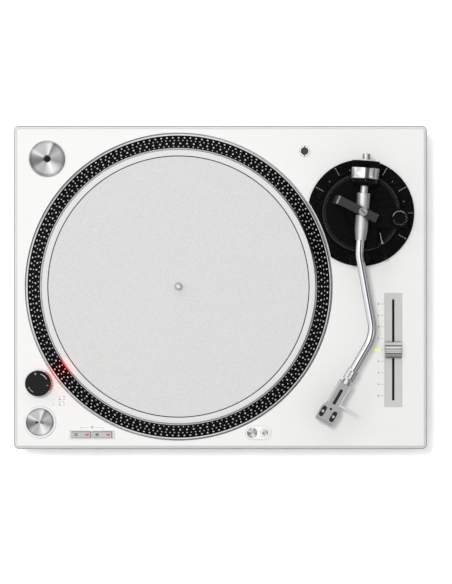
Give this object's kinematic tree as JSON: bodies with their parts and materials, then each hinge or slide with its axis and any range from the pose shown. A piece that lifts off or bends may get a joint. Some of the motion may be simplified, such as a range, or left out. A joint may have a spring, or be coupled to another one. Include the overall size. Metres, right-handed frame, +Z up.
{
  "type": "turntable record player",
  "caption": "Direct-drive disc jockey turntable with an S-shaped tonearm, slipmat, strobe-dotted platter, tempo fader, pop-up target light and a spare adapter.",
  "frame": {"origin": "under the middle of the plinth, level with the soles of the feet", "axes": "+X to the right (tonearm side), +Y to the rear, +Z up"},
  "size_m": [0.45, 0.352, 0.1484],
  "materials": {
    "arm_black": "fine black paint",
    "black_plastic": "matte black plastic",
    "cartridge_plastic": "black plastic",
    "chrome_tube": "mirror chrome",
    "circuit_board": "green circuit board",
    "coil_copper": "enamelled copper wire",
    "core_iron": "laminated iron",
    "dark_cover": "matte black",
    "dark_grey_metal": "dark grey paint",
    "fader_silver": "satin silver",
    "foot_rubber": "matte black rubber",
    "green_lens": "lit green lens",
    "grey_button": "gloss light grey",
    "jack_metal": "gold plated brass",
    "magnet": "ferrite",
    "mat_felt": "light grey felt with one printed ring",
    "motor_steel": "pressed steel",
    "platter_cast": "cast aluminium with a painted dotted band",
    "red_window": "lit red lens",
    "satin_metal": "spun satin aluminium",
    "screw_steel": "zinc plated steel",
    "shell_satin": "satin grey",
    "steel_polished": "polished steel",
    "transformer_iron": "laminated iron with a wound coil",
    "white_gloss": "glossy white enamel",
    "white_plastic": "gloss white"
  },
  "bodies": {
    "chassis": {"top_panel": "white_gloss", "cabinet": "white_plastic", "bottom_cover": "dark_cover", "bottom_screws": "screw_steel", "motor_base": "motor_steel", "stator_core": "core_iron", "stator_coils": "coil_copper", "main_board": "circuit_board", "power_transformer": "transformer_iron", "output_jacks": "jack_metal", "power_inlet": "black_plastic", "strobe_tower": "white_plastic", "strobe_window": "red_window", "start_stop_bezel": "white_plastic", "speed_button_bezel": "grey_button", "tempo_plate": "fader_silver", "tempo_slider_unit": "black_plastic", "tempo_zero_light": "green_lens", "target_light_plate": "white_plastic", "headshell_socket": "white_plastic", "arm_base_plate": "arm_black", "arm_rest": "arm_black"},
    "platter_assembly": {"platter": "platter_cast", "rotor_magnet": "magnet", "spindle": "steel_polished"},
    "slipmat_body": {"slipmat": "mat_felt"},
    "ep_adapter_body": {"ep_adapter": "satin_metal"},
    "start_stop_body": {"start_stop_button": "satin_metal"},
    "speed_33_body": {"speed_button_33": "grey_button"},
    "speed_45_body": {"speed_button_45": "grey_button"},
    "power_knob_body": {"power_knob": "black_plastic"},
    "target_light_body": {"target_light": "satin_metal"},
    "target_light_button_body": {"target_light_button": "satin_metal"},
    "tempo_knob_body": {"tempo_knob": "fader_silver"},
    "height_ring_body": {"height_ring": "arm_black"},
    "arm_platform_body": {"arm_platform": "arm_black", "gimbal_bridge": "dark_grey_metal", "pivot_screw": "steel_polished"},
    "anti_skate_body": {"anti_skate_knob": "arm_black"},
    "height_lock_body": {"height_lock_lever": "arm_black"},
    "cue_lever_body": {"cue_lever": "satin_metal"},
    "cue_lift_body": {"cue_lift_bar": "arm_black"},
    "arm_rest_clamp_body": {"arm_rest_clamp": "arm_black"},
    "gimbal_body": {"gimbal_ring": "satin_metal"},
    "tonearm_body": {"arm_tube": "chrome_tube", "arm_sleeve": "satin_metal", "rear_shaft": "satin_metal"},
    "counterweight_insert_body": {"counterweight_insert": "jack_metal"},
    "counterweight_body": {"counterweight": "chrome_tube"},
    "counterweight_dial_body": {"counterweight_dial": "black_plastic"},
    "arm_collar_body": {"arm_collar": "satin_metal"},
    "headshell_body": {"headshell": "shell_satin", "finger_lift": "shell_satin", "cartridge": "cartridge_plastic", "stylus": "cartridge_plastic", "cartridge_screws": "screw_steel"},
    "foot_front_left_body": {"foot_front_left": "foot_rubber"},
    "foot_front_right_body": {"foot_front_right": "foot_rubber"},
    "foot_rear_left_body": {"foot_rear_left": "foot_rubber"},
    "foot_rear_right_body": {"foot_rear_right": "foot_rubber"}
  },
  "joints": [
    {"name": "platter_spin", "type": "hinge", "parent": "chassis", "child": "platter_assembly", "pos_m": [-0.0455, 0.0009, 0.1], "axis": [0, 0, 1], "continuous": true},
    {"name": "slipmat_slip", "type": "hinge", "parent": "platter_assembly", "child": "slipmat_body", "pos_m": [-0.0455, 0.0009, 0.1], "axis": [0, 0, 1], "continuous": true},
    {"name": "ep_adapter_lift", "type": "slide", "parent": "chassis", "child": "ep_adapter_body", "axis": [0, 0, 1], "range_m": [0, 0.03]},
    {"name": "start_stop_press", "type": "slide", "parent": "chassis", "child": "start_stop_body", "axis": [0, 0, -1], "range_m": [0, 0.002], "stiffness_N_per_m": 400, "springref_m": -0.001},
    {"name": "speed_33_press", "type": "slide", "parent": "chassis", "child": "speed_33_body", "axis": [0, 0, -1], "range_m": [0, 0.0015], "stiffness_N_per_m": 400, "springref_m": -0.001},
    {"name": "speed_45_press", "type": "slide", "parent": "chassis", "child": "speed_45_body", "axis": [0, 0, -1], "range_m": [0, 0.0015], "stiffness_N_per_m": 400, "springref_m": -0.001},
    {"name": "power_knob_turn", "type": "hinge", "parent": "chassis", "child": "power_knob_body", "pos_m": [-0.1977, -0.104, 0.108], "axis": [0, 0, 1], "range_deg": [0, 60]},
    {"name": "target_light_pop", "type": "slide", "parent": "chassis", "child": "target_light_body", "axis": [0, 0, 1], "range_m": [0, 0.034]},
    {"name": "target_light_button_press", "type": "slide", "parent": "chassis", "child": "target_light_button_body", "axis": [0, 0, -1], "range_m": [0, 0.0015], "stiffness_N_per_m": 400, "springref_m": -0.001},
    {"name": "tempo_slide", "type": "slide", "parent": "chassis", "child": "tempo_knob_body", "axis": [0, 1, 0], "range_m": [-0.05, 0.05]},
    {"name": "height_ring_turn", "type": "hinge", "parent": "chassis", "child": "height_ring_body", "pos_m": [0.1528, 0.081, 0.098], "axis": [0, 0, 1], "range_deg": [0, 180]},
    {"name": "arm_height", "type": "slide", "parent": "chassis", "child": "arm_platform_body", "axis": [0, 0, 1], "range_m": [0, 0.006]},
    {"name": "anti_skate_turn", "type": "hinge", "parent": "arm_platform_body", "child": "anti_skate_body", "pos_m": [0.1937, 0.0746, 0.113], "axis": [0, 0, 1], "range_deg": [0, 300]},
    {"name": "height_lock_turn", "type": "hinge", "parent": "arm_platform_body", "child": "height_lock_body", "pos_m": [0.1708, 0.0982, 0.105], "axis": [0, 0, 1], "range_deg": [0, 60]},
    {"name": "cue_lever_turn", "type": "hinge", "parent": "arm_platform_body", "child": "cue_lever_body", "pos_m": [0.1724, 0.06, 0.1088], "axis": [1, 0, 0], "range_deg": [0, 30]},
    {"name": "cue_lift", "type": "slide", "parent": "arm_platform_body", "child": "cue_lift_body", "axis": [0, 0, 1], "range_m": [-0.006, 0]},
    {"name": "arm_rest_clamp_flip", "type": "hinge", "parent": "chassis", "child": "arm_rest_clamp_body", "pos_m": [0.15733, 0.03199, 0.1391], "axis": [0.1392, -0.9903, 0], "range_deg": [0, 260]},
    {"name": "tonearm_swing", "type": "hinge", "parent": "arm_platform_body", "child": "gimbal_body", "pos_m": [0.1528, 0.081, 0.131], "axis": [0, 0, 1], "range_deg": [-44, 0]},
    {"name": "tonearm_tilt", "type": "hinge", "parent": "gimbal_body", "child": "tonearm_body", "pos_m": [0.1528, 0.081, 0.131], "axis": [-0.9974, 0.072, 0], "range_deg": [0, 7]},
    {"name": "counterweight_travel", "type": "slide", "parent": "tonearm_body", "child": "counterweight_insert_body", "axis": [0.072, 0.9974, 0], "range_m": [-0.003, 0.003]},
    {"name": "counterweight_turn", "type": "hinge", "parent": "counterweight_insert_body", "child": "counterweight_body", "pos_m": [0.1528, 0.081, 0.131], "axis": [0.072, 0.9974, 0], "range_deg": [-360, 360]},
    {"name": "counterweight_dial_turn", "type": "hinge", "parent": "counterweight_body", "child": "counterweight_dial_body", "pos_m": [0.1528, 0.081, 0.131], "axis": [0.072, 0.9974, 0], "range_deg": [-180, 180]},
    {"name": "arm_collar_turn", "type": "hinge", "parent": "tonearm_body", "child": "arm_collar_body", "pos_m": [0.16513, -0.05068, 0.131], "axis": [-0.5005, -0.8658, 0], "range_deg": [0, 30]},
    {"name": "headshell_pull", "type": "slide", "parent": "tonearm_body", "child": "headshell_body", "axis": [-0.5005, -0.8658, 0], "range_m": [0, 0.02]},
    {"name": "foot_front_left_level", "type": "slide", "parent": "chassis", "child": "foot_front_left_body", "axis": [0, 0, -1], "range_m": [0, 0.005]},
    {"name": "foot_front_right_level", "type": "slide", "parent": "chassis", "child": "foot_front_right_body", "axis": [0, 0, -1], "range_m": [0, 0.005]},
    {"name": "foot_rear_left_level", "type": "slide", "parent": "chassis", "child": "foot_rear_left_body", "axis": [0, 0, -1], "range_m": [0, 0.005]},
    {"name": "foot_rear_right_level", "type": "slide", "parent": "chassis", "child": "foot_rear_right_body", "axis": [0, 0, -1], "range_m": [0, 0.005]}
  ],
  "couplings": [
    {"joint": "height_ring_turn", "follows": "arm_height", "rad_per_m": 523.6},
    {"joint": "cue_lift", "follows": "cue_lever_turn", "m_per_rad": -0.011459},
    {"joint": "counterweight_turn", "follows": "counterweight_travel", "rad_per_m": 2094.4}
  ]
}
